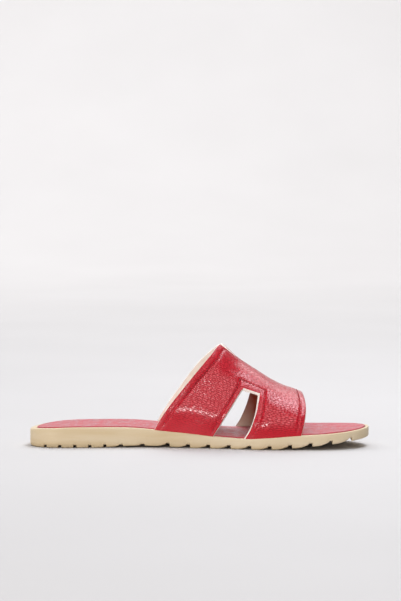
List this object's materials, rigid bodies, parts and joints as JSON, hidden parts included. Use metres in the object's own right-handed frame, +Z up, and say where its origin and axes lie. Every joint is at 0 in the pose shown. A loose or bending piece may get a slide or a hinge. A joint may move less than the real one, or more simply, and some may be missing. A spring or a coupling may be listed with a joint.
{
  "type": "slide slipper",
  "caption": "Flat open-toe slide slipper: a wide leather band with side cut-outs and a notched collar over a thin insole on a moulded sole with heel grooves and saw-tooth tread.",
  "frame": {"origin": "on the floor, below the middle of the sole's length and width", "axes": "+X to the toe, -Y to the inner (medial) side of the foot, +Z up"},
  "size_m": [0.249, 0.0891, 0.0748],
  "materials": {
    "sole": "matte moulded beige rubber",
    "insole": "smooth red leather, satin",
    "upper": "pebbled red leather with a gloss coat, cream lining and raw cut edges"
  },
  "bodies": {
    "root": {"unit_sole": "sole", "insole": "insole", "upper": "upper"}
  },
  "joints": []
}
